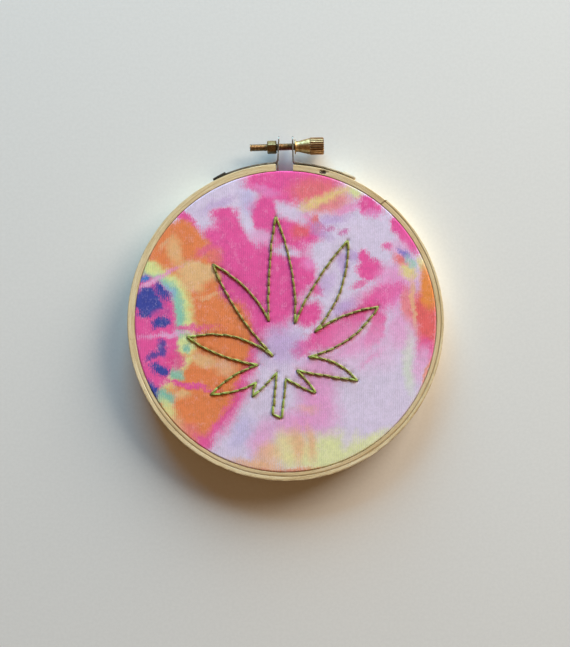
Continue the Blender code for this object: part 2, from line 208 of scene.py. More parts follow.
# Dyed patches from the first to the last: dye, centre x and y, half length and half width in mm, turn in degrees,
# softness of the edge as a share, and strength
PATCHES = (
    ("hot_pink", -10, 19, 24, 18, 90, 0.16, 1.0),
    ("hot_pink", 2, 49, 17, 8, 0, 0.20, 1.0),
    ("hot_pink", -18, 36, 7, 4, 25, 0.25, 1.0),
    ("coral", 12, 43.5, 10.5, 6, -14, 0.40, 0.85),
    ("hot_pink", 7, 32, 6, 5, -30, 0.30, 1.0),
    ("red_coral", 5, 31.5, 3.5, 2.6, 30, 0.50, 0.8),
    ("coral", 10.5, 34, 1.6, 3.2, 20, 0.40, 0.9),
    ("straw", 16.7, 44.0, 7.8, 1.4, 24, 0.70, 0.8),
    ("yellow", 10, 41, 4.5, 1.6, 25, 0.60, 0.6),
    ("lime_yellow", 24, 44.6, 2.2, 1.5, -30, 0.45, 0.9),
    ("rose", 22.5, 39.5, 5.5, 1.5, 20, 0.50, 0.7),
    ("lavender", -20, 42.8, 12.5, 5.4, 28, 0.28, 1.0),
    ("lavender", -31, 37, 6.5, 3.6, 28, 0.30, 1.0),
    ("lavender", -13.6, 34.8, 7.5, 2.4, -65, 0.35, 1.0),
    ("pale_rose", -8.3, 29.2, 4.6, 2.5, -12, 0.50, 0.9),
    ("lavender", 1.0, 37.5, 7, 2.3, -22, 0.40, 0.9),
    ("lavender", -26.5, 31.2, 2.2, 1.7, -20, 0.45, 0.8),
    ("lavender", 0.5, 24.4, 4.6, 1.8, -8, 0.50, 0.9),
    ("violet", -24, 40.5, 6, 1.5, 25, 0.60, 0.5),
    ("blue_lavender", -13.5, 42, 2.5, 5, 10, 0.60, 0.6),
    ("hot_pink", -7.5, 48.5, 7, 3.2, 5, 0.30, 1.0),
    ("hot_pink", -7.2, 38.4, 3.5, 5.2, -8, 0.18, 1.0),
    ("hot_pink", -21.5, 37.4, 4.6, 2.2, 14, 0.30, 1.0),
    ("rose", -7, 45.5, 5, 1.5, -15, 0.50, 0.7),
    ("hot_pink", 5.5, 17, 5.5, 5.2, 0, 0.25, 1.0),
    ("rose", 8.2, 20, 2.4, 2.2, 0, 0.50, 0.8),
    ("hot_pink", 10.5, 11, 2.4, 2.2, 40, 0.35, 0.9),
    ("hot_pink", 7.5, 2.5, 5.2, 4.2, 20, 0.30, 1.0),
    ("violet", 12, 31, 4.5, 1.8, -30, 0.60, 0.6),
    ("violet", 16, 35, 6, 1.4, 15, 0.60, 0.6),
    ("violet", 24, 22.5, 4.5, 1.6, -8, 0.55, 0.7),
    ("violet", 20, 20, 2.2, 3.2, 20, 0.60, 0.6),
    ("violet", 14, 13, 2.5, 4, -30, 0.60, 0.5),
    ("magenta", 20, 31.1, 1.5, 1.0, 10, 0.45, 0.8),
    ("magenta", 15, 32.2, 1.6, 0.7, 0, 0.55, 0.7),
    ("hot_pink", 29, 40, 5, 2.9, -32, 0.25, 1.0),
    ("rose", 30, 37.2, 3, 1.4, -20, 0.50, 0.8),
    ("hot_pink", 38, 33.5, 2.2, 2.8, 10, 0.30, 1.0),
    ("hot_pink", 42, 29.5, 7.5, 2.7, -50, 0.25, 1.0),
    ("hot_pink", 35.6, 25.8, 1.6, 1.5, 0, 0.35, 1.0),
    ("pale_rose", 40, 24, 4.5, 3.5, -40, 0.50, 0.8),
    ("hot_pink", 29.6, 17.8, 4.7, 3.6, -18, 0.22, 1.0),
    ("hot_pink", 27.8, 22.2, 1.7, 2.4, 10, 0.30, 1.0),
    ("hot_pink", 25.8, 12.8, 2.6, 1.1, 20, 0.40, 0.8),
    ("pale_rose", 37, 16, 4, 4, 0, 0.60, 0.6),
    ("rose", 39, 13.5, 7, 6, 0, 0.60, 0.7),
    ("hot_pink", 34.5, 8.6, 7.5, 3.2, 28, 0.35, 1.0),
    ("rose", 36, 8, 5, 4.5, 0, 0.50, 0.8),
    ("hot_pink", 31.5, 8.5, 8, 3.6, 20, 0.60, 0.7),
    ("rose", 39.5, -2, 6, 3.6, 80, 0.60, 0.7),
    ("hot_pink", 26, 2.5, 8, 2.8, 24, 0.35, 1.0),
    ("violet", 20, 4.5, 5, 2.2, 30, 0.55, 0.7),
    ("hot_pink", 16, -5, 9.5, 4.4, 16, 0.25, 1.0),
    ("hot_pink", 6, -9.5, 3.4, 2.8, 35, 0.35, 0.9),
    ("hot_pink", 31, -3, 2.8, 7, -22, 0.30, 1.0),
    ("hot_pink", 24.5, -0.8, 3.6, 1.6, 30, 0.35, 0.9),
    ("lavender", 28, -1.5, 1.2, 4.5, -20, 0.55, 0.6),
    ("coral", 42.5, 6, 2.4, 6, 0, 0.45, 0.8),
    ("red_coral", 48.5, 0, 5, 11, 4, 0.30, 1.0),
    ("hot_pink", 48.5, -10, 3.6, 4.5, 10, 0.45, 0.8),
    ("coral", 39.8, 21.2, 3.0, 1.7, -30, 0.45, 0.9),
    ("yellow", 42.5, 17.4, 2.9, 2.2, -30, 0.40, 0.9),
    ("slate_violet", 41.6, 23.6, 2.7, 1.2, -35, 0.50, 0.9),
    ("sea_green", 43.9, 20.4, 2.2, 1.3, -55, 0.50, 0.7),
    ("yellow", 47.8, 19.6, 1.6, 3.0, 18, 0.45, 0.8),
    ("bright_orange", 49.5, 11.5, 3.0, 7.5, 6, 0.35, 1.0),
    ("peach", 44.4, 6, 0.7, 9, 3, 0.50, 0.8),
    ("pale_rose", 42, -4, 3.5, 5, 0, 0.60, 0.6),
    ("pale_green", 43, -15, 1.8, 10, 2, 0.60, 0.8),
    ("pale_rose", 47, -15, 2.2, 6, -10, 0.55, 0.9),
    ("orange", 49.6, -17, 0.8, 8.0, -18, 0.60, 0.7),
    ("pale_rose", 28, -8, 12, 8, 0, 0.70, 0.6),
    ("rose", 11, -19, 6.5, 8, -25, 0.65, 0.7),
    ("rose", 11, -31, 7, 8, 0, 0.60, 0.75),
    ("rose", 24, -9, 8, 2.2, 25, 0.65, 0.6),
    ("rose", 29, -13, 4.0, 0.8, 38, 0.80, 0.6),
    ("peach", 7.6, -30.5, 3.2, 1.4, 0, 0.80, 0.45),
    ("rose", 2, -36, 7, 4.5, -10, 0.55, 0.7),
    ("rose", -8.5, -41, 4, 6, -20, 0.60, 0.6),
    ("blue_lavender", -15.5, -38.5, 3.5, 6, -25, 0.60, 0.7),
    ("yellow", 0.5, -44.5, 6, 6, 8, 0.55, 0.8),
    ("lime_yellow", 14, -46, 12, 6.8, 12, 0.45, 0.85),
    ("lime_yellow", 29.5, -42, 7, 2.2, 32, 0.60, 0.75),
    ("lavender", 21.5, -39.5, 1.8, 4.5, -18, 0.60, 0.7),
    ("peach", 4.2, -43.5, 2.0, 6.0, 6, 0.80, 0.8),
    ("peach", 8.6, -42.5, 1.7, 5.5, 4, 0.80, 0.8),
    ("peach", -6.5, -46.5, 4, 4, 0, 0.60, 0.8),
    ("peach", -9.5, -50, 8, 1.8, -10, 0.50, 0.9),
    ("orange", 3, -51.9, 11, 0.9, 2, 0.60, 0.7),
    ("violet", -1.5, -8.5, 7, 6.5, 20, 0.60, 0.6),
    ("hot_pink", -29.6, -23.6, 30, 14.8, 60, 0.20, 1.0),
    ("hot_pink", -38.5, -7, 28.8, 21.5, 0, 0.12, 1.0),
    ("hot_pink", -34.5, 35.4, 6.5, 1.9, -40, 0.30, 1.0),
    ("hot_pink", -24.5, 27.5, 5.5, 4.2, -70, 0.35, 1.0),
    ("orange", -38, 16, 19, 15, 100, 0.08, 1.0),
    ("orange", -35.2, 30.6, 5.6, 4.4, -30, 0.22, 1.0),
    ("orange", -40, -7, 28.3, 20, 0, 0.06, 1.0),
    ("orange", -32.2, -22.0, 32, 14, 60, 0.08, 1.0),
    ("coral", -24, 22, 3.2, 2.4, 60, 0.45, 0.8),
    ("hot_pink", -28.0, 24.6, 3.0, 1.7, 20, 0.50, 0.6),
    ("tan", -30.5, 17.2, 7, 3.6, -14, 0.22, 1.0),
    ("tan", -33, 13, 4.6, 3.0, -30, 0.35, 0.9),
    ("tan", -38.2, 24.5, 5.0, 2.5, 100, 0.50, 0.85),
    ("peach", -41.5, 27.2, 2.6, 0.5, 45, 0.55, 0.8),
    ("orange", -44.5, 22, 2.5, 2.5, 0, 0.50, 0.9),
    ("peach", -26.5, 8.6, 4.0, 0.5, 14, 0.55, 0.8),
    ("tan", -30, -13, 6.5, 2.3, -14, 0.45, 0.9),
    ("peach", -20.5, -16, 3.6, 2.4, -20, 0.55, 0.8),
    ("tan", -36.5, -25.5, 3.4, 1.6, 0, 0.50, 0.9),
    ("peach", -38, -36.5, 3.2, 6, 38, 0.55, 0.8),
    ("coral", -31, -39.5, 5, 3.0, -40, 0.50, 0.8),
    ("hot_pink", -28, -42, 3.5, 2.0, -35, 0.45, 0.9),
    ("lime_yellow", -49.5, -3, 18, 23.5, 0, 0.08, 1.0),
    ("teal", -49.5, -2.5, 15.2, 19.6, 0, 0.10, 1.0),
    ("sea_green", -49, 1.5, 13.6, 16, 0, 0.12, 0.7),
    ("sky", -41.6, 10.5, 3.4, 1.9, -50, 0.45, 0.8),
    ("teal", -41.5, -27, 2.4, 2.2, 0, 0.40, 0.9),
    ("teal", -37.5, -18.2, 2.4, 2.2, 0, 0.40, 0.9),
    ("orange", -35, -11, 3.4, 1.6, 0, 0.50, 0.8),
    ("lime_yellow", -35, -8.5, 3.6, 3.0, -10, 0.35, 0.9),
    ("teal", -34.6, -9.4, 1.1, 1.3, 0, 0.50, 0.9),
    ("hot_pink", -49.8, -5.5, 12.4, 22, 0, 0.07, 1.0),
    ("deep_pink", -38, -14, 2.8, 3.2, 0, 0.35, 0.9),
    ("hot_pink", -34, -2.6, 7.5, 0.9, 4, 0.40, 0.9),
    ("pale_rose", -40, -4.8, 8, 0.6, 5, 0.55, 0.9),
    ("hot_pink", -34.5, -22.2, 9, 1.0, -10, 0.35, 1.0),
    ("navy", -47.4, 7.0, 5.0, 5.2, 20, 0.13, 1.0),
    ("magenta", -42.8, 7, 3.8, 0.6, -62, 0.40, 0.9),
    ("navy", -43.0, 10.6, 3.6, 1.3, -52, 0.25, 1.0),
    ("magenta", -43, 2.8, 3.6, 1.8, 25, 0.45, 0.8),
    ("navy", -43.2, -0.6, 3.2, 1.9, 12, 0.22, 1.0),
    ("navy", -48.6, 2.1, 2.0, 1.0, 0, 0.30, 1.0),
    ("navy", -42.4, -9.4, 1.5, 2.7, 12, 0.35, 0.9),
    ("navy", -45.6, -11.8, 2.8, 1.2, 20, 0.35, 0.9),
    ("navy", -43.4, -16.6, 3.4, 1.6, -24, 0.22, 1.0),
    ("navy", -45.6, -24.2, 4.6, 1.5, -62, 0.30, 1.0),
    ("teal", -42.2, -26.5, 1.6, 2.6, 10, 0.40, 0.9),
    ("lime_yellow", -47, 18.8, 3.6, 1.8, -18, 0.40, 1.0),
    ("lime_yellow", -41.0, -30.0, 3.8, 1.8, -48, 0.45, 0.8),
    ("pale_rose", -46.5, 13.6, 5.0, 0.9, 26, 0.40, 0.9),
    ("rose", -40.3, 17.0, 3.2, 0.6, 26, 0.50, 0.8),
    ("azure", -49.2, 14.9, 1.9, 1.3, 20, 0.40, 1.0),
)

STITCH_GREENS = ((150, 126, 64), (156, 156, 68), (172, 200, 92))


def pick(piece):
    bpy.ops.object.select_all(action="DESELECT")
    piece.select_set(True)
    bpy.context.view_layer.objects.active = piece


def added(kind, name, **settings):
    """A new primitive, alone in the selection."""
    bpy.ops.object.select_all(action="DESELECT")
    getattr(bpy.ops.mesh, f"primitive_{kind}_add")(**settings)
    piece = bpy.context.object
    piece.name = name
    piece.data.name = name
    return piece


def edit(piece, mode="VERT"):
    pick(piece)
    bpy.ops.object.mode_set(mode="EDIT")
    bpy.ops.mesh.select_mode(type=mode)
    bpy.ops.mesh.select_all(action="DESELECT")


def choose(piece, kind, test):
    """Selects, in edit mode, the verts, edges or faces that pass the test."""
    bpy.ops.mesh.select_all(action="DESELECT")
    bm = bmesh.from_edit_mesh(piece.data)
    for item in getattr(bm, kind):
        if test(item):
            item.select_set(True)
    bmesh.update_edit_mesh(piece.data)


def end_edit():
    bpy.ops.object.mode_set(mode="OBJECT")


def extrude_by(step):
    bpy.ops.mesh.extrude_region_move(TRANSFORM_OT_translate={"value": step})


def add_modifier(piece, kind, **settings):
    modifier = piece.modifiers.new(kind.title(), kind)
    for name, value in settings.items():
        setattr(modifier, name, value)
    return modifier


def apply_modifiers(piece):
    pick(piece)
    for modifier in list(piece.modifiers):
        bpy.ops.object.modifier_apply(modifier=modifier.name)


def cut(piece, cutter, operation="DIFFERENCE"):
    """Takes the cutter from the piece, or joins it on, in millimetres, and removes the cutter."""
    for one in (piece, cutter):
        one.data.transform(Matrix.Scale(1 / MM, 4))
    add_modifier(piece, "BOOLEAN", operation=operation, solver="EXACT", object=cutter)
    apply_modifiers(piece)
    bpy.data.objects.remove(cutter, do_unlink=True)
    piece.data.transform(Matrix.Scale(MM, 4))


def settle(piece, place=None):
    """Leaves the object at the origin with its place in its mesh."""
    pick(piece)
    bpy.ops.object.transform_apply(location=True, rotation=True, scale=True)
    if place is not None:
        piece.data.transform(place)


def face_outwards(piece, merge=0.0005 * MM):
    edit(piece)
    bpy.ops.mesh.select_all(action="SELECT")
    bpy.ops.mesh.remove_doubles(threshold=merge)
    bpy.ops.mesh.normals_make_consistent(inside=False)
    end_edit()


def shade(piece, angle=35):
    pick(piece)
    bpy.ops.object.shade_smooth_by_angle(angle=math.radians(angle))


def joined(pieces, name):
    pick(pieces[0])
    for piece in pieces[1:]:
        piece.select_set(True)
    bpy.ops.object.join()
    pieces[0].name = name
    return pieces[0]


def points_of(piece):
    flat = np.empty(len(piece.data.vertices) * 3)
    piece.data.vertices.foreach_get("co", flat)
    return flat.reshape(-1, 3)


def move_points(piece, points):
    piece.data.vertices.foreach_set("co", points.ravel())
    piece.data.update()


def smooth_step(low, high, values):
    share = np.clip((values - low) / (high - low), 0, 1)
    return share * share * (3 - 2 * share)


def dress(piece, finish, body, slot, *nodes):
    """Gives a finished piece its material and its body, and hides the nodes that it stands for. The slot is not used.
    """
    piece.data.materials.clear()
    piece.data.materials.append(finish)
    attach(piece, body)
    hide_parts(*nodes)


class Socket:
    """A node's output that can stand in a sum: an expression on values adds its Math nodes."""

    def __init__(self, finish, output):
        self.finish = finish
        self.output = output

    def maths(self, operation, first, second=None, third=None):
        given = {i: value for i, value in enumerate((first, second, third)) if value is not None}
        return self.finish.node("ShaderNodeMath", {"operation": operation}, given)

    def __add__(self, other):
        return self.maths("ADD", self, other)

    def __radd__(self, other):
        return self.maths("ADD", other, self)

    def __sub__(self, other):
        return self.maths("SUBTRACT", self, other)

    def __rsub__(self, other):
        return self.maths("SUBTRACT", other, self)

    def __mul__(self, other):
        return self.maths("MULTIPLY", self, other)

    def __rmul__(self, other):
        return self.maths("MULTIPLY", other, self)

    def __truediv__(self, other):
        return self.maths("DIVIDE", self, other)

    def __pow__(self, other):
        return self.maths("POWER", self, other)

    def __abs__(self):
        return self.maths("ABSOLUTE", self)


class Finish:
    """A material that is built up from nodes."""

    def __init__(self, name):
        self.material = bpy.data.materials.new(name)
        self.material.use_nodes = True
        self.tree = self.material.node_tree
        self.shader = self.tree.nodes["Principled BSDF"]

    def put(self, value, socket):
        if isinstance(value, Socket):
            self.tree.links.new(value.output, socket)
        elif isinstance(value, tuple) and len(value) < len(socket.default_value):
            socket.default_value = (*value, 1.0)
        else:
            socket.default_value = value

    def node(self, kind, settings=None, sockets=None, output=0):
        """Adds a node: its settings first, then the values or links of its sockets."""
        made = self.tree.nodes.new(kind)
        for name, setting in (settings or {}).items():
            if name == "stops":
                set_stops(made.color_ramp, setting)
            else:
                setattr(made, name, setting)
        for name, value in (sockets or {}).items():
            self.put(value, made.inputs[name])
        return Socket(self, made.outputs[output])

    def set(self, **values):
        """Sets or links the shader's own sockets, named with underscores for spaces."""
        for name, value in values.items():
            self.put(value, self.shader.inputs[name.replace("_", " ")])

    def mix(self, share, first, second):
        settings = {"data_type": "RGBA", "clamp_factor": True}
        return self.node("ShaderNodeMix", settings, {0: share, 6: first, 7: second}, output=2)

    def tinted(self, colour, shade_value):
        """A colour made lighter or darker by a value near 1."""
        settings = {"data_type": "RGBA", "blend_type": "MULTIPLY"}
        grey = self.node("ShaderNodeCombineColor", None, {0: shade_value, 1: shade_value, 2: shade_value})
        return self.node("ShaderNodeMix", settings, {0: 1.0, 6: colour, 7: grey}, output=2)

    def place(self, centre=(0, 0, 0), turn=0.0):
        """Object coordinates in millimetres from a centre, turned about Z."""
        coordinates = self.node("ShaderNodeTexCoord", output="Object")
        settings = {"vector_type": "TEXTURE"}
        sockets = {"Vector": coordinates, "Location": tuple(centre), "Rotation": (0, 0, turn), "Scale": (MM, MM, MM)}
        return self.node("ShaderNodeMapping", settings, sockets)

    def split(self, vector):
        return [self.node("ShaderNodeSeparateXYZ", None, {0: vector}, output=axis) for axis in "XYZ"]

    def vector(self, x, y, z):
        return self.node("ShaderNodeCombineXYZ", None, {0: x, 1: y, 2: z})

    def noise(self, place, scale, detail=3.0, roughness=0.5, output="Fac"):
        sockets = {"Vector": place, "Scale": scale, "Detail": detail, "Roughness": roughness}
        return self.node("ShaderNodeTexNoise", None, sockets, output)

    def ramp(self, value, low, high, to_low=0.0, to_high=1.0):
        """A smooth rise from one value to another."""
        settings = {"interpolation_type": "SMOOTHSTEP"}
        sockets = {"Value": value, "From Min": low, "From Max": high, "To Min": to_low, "To Max": to_high}
        return self.node("ShaderNodeMapRange", settings, sockets)

    def wave(self, value):
        """A sine of a value that counts whole turns."""
        return self.node("ShaderNodeMath", {"operation": "SINE"}, {0: value * math.tau})

    def maths(self, operation, *values):
        return self.node("ShaderNodeMath", {"operation": operation}, dict(enumerate(values)))

    def in_ellipse(self, flat, centre, halves, turn):
        """How far out a place lies in a turned ellipse, whose edge is at 1. The place's Z is 1."""
        across = []
        for angle, half in zip((turn, turn + math.pi / 2), halves):
            x, y = math.cos(angle) / half, math.sin(angle) / half
            row = (x, y, -x * centre[0] - y * centre[1])
            across.append(self.node("ShaderNodeVectorMath", {"operation": "DOT_PRODUCT"}, {0: flat, 1: row}, "Value"))
        return self.node("ShaderNodeVectorMath", {"operation": "LENGTH"}, {0: self.vector(*across, 0.0)}, "Value")

    def bump(self, height, distance, strength=1.0, under=None):
        sockets = {"Height": height, "Distance": distance, "Strength": strength}
        if under is not None:
            sockets["Normal"] = under
        return self.node("ShaderNodeBump", None, sockets)


def set_stops(ramp, stops):
    while len(ramp.elements) < len(stops):
        ramp.elements.new(0.5)
    for element, (position, colour) in zip(ramp.elements, stops):
        element.position = position
        element.color = (*colour, 1.0)


def linear(*srgb):
    """A linear colour from an sRGB one in 0 to 255."""
    shares = [value / 255 for value in srgb]
    return tuple(s / 12.92 if s <= 0.04045 else ((s + 0.055) / 1.055) ** 2.4 for s in shares)


def dyed(*srgb):
    """A dyed surface's own colour, a little lighter than it looks in soft light."""
    return tuple(min(0.97, 1.40 * value) for value in linear(*srgb))


def wood_finish():
    wood = Finish("pale_beech")
    place = wood.place(HOOP_CENTRE)
    x, y, z = wood.split(place)
    turn = wood.maths("ARCTAN2", x, 0 - y)
    radius = wood.maths("SQRT", x * x + y * y)
    along = turn * (OUTER_RADIUS / MM)
    broad = wood.noise(wood.vector(along * 0.035, radius * 0.5, z * 0.35), 1.0, 3.0)
    grain = wood.noise(wood.vector(along * 0.10, radius * 2.4, z * 2.0), 1.0, 5.0, 0.6)
    fibres = wood.noise(wood.vector(along * 0.45, radius * 9.0, z * 8.0), 1.0, 3.0, 0.6)
    pores = wood.noise(wood.vector(along * 0.9, radius * 14.0, z * 13.0), 1.0, 1.0, 0.4)
    stops = [(0.30, linear(194, 158, 106)), (0.47, linear(230, 206, 158)), (0.66, linear(247, 231, 194))]
    figure = wood.node("ShaderNodeValToRGB", {"stops": stops}, {0: broad * 0.35 + grain * 0.65})
    colour = wood.mix(wood.ramp(fibres, 0.52, 0.78) * 0.35, figure, linear(168, 126, 76))
    colour = wood.mix(wood.ramp(pores, 0.62, 0.74) * 0.40, colour, linear(128, 90, 54))
    degrees = turn * math.degrees(1)
    line = OUTER_BORE / MM + (0.50 + degrees * 0.0010) * (OUTER_RADIUS - OUTER_BORE) / MM
    front = wood.ramp(z, RING_FRONT / MM - 0.9, RING_FRONT / MM - 0.3)
    wound = wood.ramp(degrees, -85, -50) * wood.ramp(degrees, SCARF_TURN, SCARF_TURN + 0.3, 1.0, 0.0)
    seam = wood.ramp(abs(radius - line), 0.05, 0.34, 1.0, 0.0) * front * wound
    inner_strip = wood.ramp(radius - line, -0.15, 0.05, 1.0, 0.0) * front * wound
    colour = wood.mix(inner_strip * 0.30, colour, linear(200, 164, 112))
    colour = wood.mix(seam * 0.52, colour, linear(140, 102, 58))
    slant = degrees + (radius - line) * 0.26
    cut_end = wood.ramp(abs(slant - SCARF_TURN), 0.10, 0.50, 0.80, 0.0) * front
    colour = wood.mix(cut_end, colour, linear(96, 66, 36))
    bared = wood.ramp(degrees, SCARF_TURN - 0.1, SCARF_TURN + 0.2) * 0.25
    colour = wood.mix(bared, colour, linear(170, 132, 86))
    knot_x, knot_y = knot_place()
    away = wood.maths("SQRT", ((x - knot_x) * 0.44) ** 2 + ((y - knot_y) * 0.78) ** 2)
    ragged = away + (wood.noise(place, 2.4, 2.0) - 0.5) * 1.3
    colour = wood.mix(wood.ramp(ragged, 0.40, 0.72, 1.0, 0.0) * front, colour, linear(58, 34, 18))
    # Painted shade: the front is darkened along both rounded edges, broken up by a mottled mask.
    edge_shade_mottle = wood.noise(wood.vector(along * 0.3, radius, z * 0.6), 1.0, 3.0)
    edge = wood.ramp(abs(radius - (OUTER_BORE + OUTER_RADIUS) / (2 * MM)), 0.95, 1.25) * front
    colour = wood.mix(edge * wood.ramp(edge_shade_mottle, 0.30, 0.60) * 0.55, colour, linear(140, 104, 62))
    height = grain * 0.5 + fibres * 0.35 - wood.ramp(pores, 0.62, 0.74) * 0.5 - seam * 0.8
    wood.set(
        Base_Color=colour,
        Roughness=wood.ramp(fibres, 0.3, 0.7, 0.48, 0.66),
        Normal=wood.bump(height, 0.09 * MM),
    )
    wood.shader.inputs["Specular IOR Level"].default_value = 0.35
    return wood.material


SCARF_TURN = 50.5 + 90
KNOT_ANGLE = math.radians(75.8)
KNOT_RADIUS = 53.6


def knot_place():
    """The chip in the ring's front, in millimetres from the hoop's centre."""
    return KNOT_RADIUS * math.cos(KNOT_ANGLE), KNOT_RADIUS * math.sin(KNOT_ANGLE)


def jersey_finish():
    jersey = Finish("tie_dyed_jersey")
    place = jersey.place(HOOP_CENTRE)
    x, y, z = jersey.split(place)
    broad_shift = jersey.noise(place, 0.16, 2.0, 0.5, "Color")
    fine_shift = jersey.noise(place, 0.62, 3.0, 0.55, "Color")
    run = jersey.node("ShaderNodeVectorMath", {"operation": "ADD"}, {0: broad_shift, 1: (-0.5, -0.5, -0.5)})
    run = jersey.node("ShaderNodeVectorMath", {"operation": "SCALE"}, {0: run, "Scale": 4.0})
    feather = jersey.node("ShaderNodeVectorMath", {"operation": "ADD"}, {0: fine_shift, 1: (-0.5, -0.5, -0.5)})
    feather = jersey.node("ShaderNodeVectorMath", {"operation": "SCALE"}, {0: feather, "Scale": 2.6})
    moved = jersey.node("ShaderNodeVectorMath", {"operation": "ADD"}, {0: run, 1: feather})
    moved = jersey.node("ShaderNodeVectorMath", {"operation": "ADD"}, {0: place, 1: moved})
    moved_x, moved_y, _ = jersey.split(moved)
    flat = jersey.vector(moved_x, moved_y, 1.0)
    wale = x / WALE + jersey.noise(place, 0.25, 1.0) * 0.5
    course = y / COURSE
    half_wale = abs(jersey.maths("FRACT", wale) - 0.5)
    slant = jersey.wave(course + half_wale * 1.1)
    leg = 1 - (abs(half_wale - 0.25) * 4) ** 2
    stitch = jersey.vector(jersey.maths("FLOOR", wale * 2), jersey.maths("FLOOR", course + half_wale), 0.0)
    speck = jersey.node("ShaderNodeTexWhiteNoise", {"noise_dimensions": "2D"}, {"Vector": stitch})
    bite = (speck - 0.5) * 0.5 + (half_wale - 0.25) * 1.4 + (jersey.noise(place, 2.2, 2.0) - 0.5) * 1.5
    colour = None
    for dye, centre_x, centre_y, long, wide, turn, softness, strength in PATCHES:
        away = jersey.in_ellipse(flat, (centre_x, centre_y), (long, wide), math.radians(turn))
        bitten = jersey.maths("MULTIPLY_ADD", away, float(wide), bite)
        fade = wide * softness + 0.25
        soaked = jersey.ramp(bitten, wide - fade, wide + fade, strength, 0.0)
        below = dyed(*DYES["lavender"]) if colour is None else colour
        colour = jersey.mix(soaked, below, dyed(*DYES[dye]))
    cloudy = jersey.noise(place, 0.5, 4.0, 0.6)
    heather = speck * 0.10 + jersey.ramp(cloudy, 0.3, 0.7) * 0.10 + 0.90
    colour = jersey.tinted(colour, heather)
    washed = jersey.ramp(jersey.noise(place, 0.30, 3.0, 0.6) * 0.8 + speck * 0.2, 0.52, 0.74) * 0.18
    colour = jersey.mix(washed, colour, dyed(226, 196, 224))
    # Painted shade in the knit: darker where the loops' legs dip and in the furrows between wales.
    knit_painted_shade = jersey.ramp(leg * (slant * 0.15 + 0.85), 0.0, 0.8, 0.93, 1.03)
    colour = jersey.tinted(colour, knit_painted_shade * jersey.ramp(half_wale, 0.22, 0.50, 1.03, 0.93))
    # Painted shade: the jersey is darkened in the pits where the thread goes through.
    pit = jersey.node("ShaderNodeAttribute", {"attribute_name": "pit"}, output="Fac")
    colour = jersey.mix(jersey.ramp(pit, 0.25, 0.95) * 0.8, colour, linear(72, 44, 34))
    height = leg * (slant * 0.16 + 0.84) - jersey.ramp(half_wale, 0.30, 0.50) * 0.8
    fuzz = jersey.noise(place, 7.0, 2.0, 0.6)
    jersey.set(
        Base_Color=colour,
        Roughness=jersey.ramp(fuzz, 0.3, 0.7, 0.82, 0.94),
        Normal=jersey.bump(height + fuzz * 0.5, 0.06 * MM),
    )
    jersey.shader.inputs["Sheen Weight"].default_value = 0.18
    jersey.shader.inputs["Sheen Roughness"].default_value = 0.5
    jersey.shader.inputs["Specular IOR Level"].default_value = 0.2
    return jersey.material


WALE = 0.66
COURSE = 0.50


def floss_finish():
    floss = Finish("stranded_floss")
    tint = floss.node("ShaderNodeAttribute", {"attribute_name": "tint"}, output="Fac")
    laid = floss.node("ShaderNodeUVMap", {"uv_map": "thread"})
    along, around, _ = floss.split(laid)
    place = floss.place(HOOP_CENTRE)
    mottle = floss.noise(place, 1.6, 3.0)
    stops = list(zip((0.0, 0.5, 1.0), (linear(*green) for green in STITCH_GREENS)))
    colour = floss.node("ShaderNodeValToRGB", {"stops": stops}, {0: tint * 0.7 + mottle * 0.45 - 0.08})
    fibre = floss.wave(around * 3 + along * 2.2)
    hairs = floss.noise(floss.vector(along * 5, around * 22, tint * 9), 1.0, 3.0, 0.6)
    colour = floss.tinted(colour, floss.ramp(fibre * 0.5 + hairs, 0.1, 0.9, 0.80, 1.10))
    # Painted shade with a darker floss: the thread is darkened towards both ends of each stitch, where it dives into
    # the cloth.
    end = floss.ramp(abs(along - 0.5), 0.37, 0.49)
    colour = floss.mix(end * 0.80, colour, linear(62, 42, 22))
    floss.set(
        Base_Color=colour,
        Roughness=floss.ramp(hairs, 0.3, 0.7, 0.42, 0.62),
        Normal=floss.bump(fibre * 0.4 + hairs * 0.8, 0.05 * MM),
    )
    floss.shader.inputs["Sheen Weight"].default_value = 0.15
    return floss.material


def brass_finish():
    brass = Finish("darkened_brass")
    place = brass.place(AXIS_POINT, AXIS_TILT)
    x, y, z = brass.split(place)
    radius = brass.maths("SQRT", y * y + z * z)
    patina = brass.noise(place, 1.1, 4.0, 0.6)
    spots = brass.noise(place, 4.5, 3.0, 0.6)
    lines = brass.noise(brass.vector(x * 0.4, y * 9, z * 9), 1.0, 2.0)
    stops = [(0.32, linear(132, 100, 62)), (0.50, linear(190, 152, 102)), (0.70, linear(232, 204, 152))]
    colour = brass.node("ShaderNodeValToRGB", {"stops": stops}, {0: patina * 0.7 + spots * 0.3})
    head = brass.ramp(x, NECK_END / MM - 0.3, NECK_END / MM + 0.3)
    colour = brass.mix(head * 0.45, colour, linear(160, 110, 78))
    groove = brass.ramp(radius, (HEAD_RADIUS - FLUTE_DEPTH) / MM, HEAD_RADIUS / MM - 0.06, 1.0, 0.0) * head
    shank = brass.ramp(radius, ROD_RADIUS / MM + 0.05, ROD_RADIUS / MM + 0.25, 1.0, 0.0)
    valley = brass.ramp(radius, (ROD_RADIUS - THREAD_DEPTH) / MM, ROD_RADIUS / MM, 1.0, 0.0) * shank
    dark = brass.maths("MAXIMUM", groove * 0.75, shank * 0.45 + valley * 0.45)
    colour = brass.mix(dark, colour, brass.mix(shank, linear(52, 34, 20), linear(98, 66, 42)))
    # The nut's brass is made darker than the screw's.
    nut_darkening = brass.ramp(abs(x - (NUT_END - NUT_LENGTH / 2) / MM), NUT_LENGTH / 2 / MM, NUT_LENGTH / 2 / MM + 0.1, 0.55, 0.0)
    colour = brass.mix(nut_darkening * (1 - shank), colour, linear(84, 64, 36))
    brass.set(
        Base_Color=colour,
        Metallic=brass.ramp(dark, 0.0, 1.0, 1.0, 0.75),
        Roughness=brass.ramp(spots * 0.6 + lines * 0.4, 0.3, 0.7, 0.32, 0.52),
        Normal=brass.bump(spots * 0.5 + lines, 0.012 * MM),
    )
    return brass.material


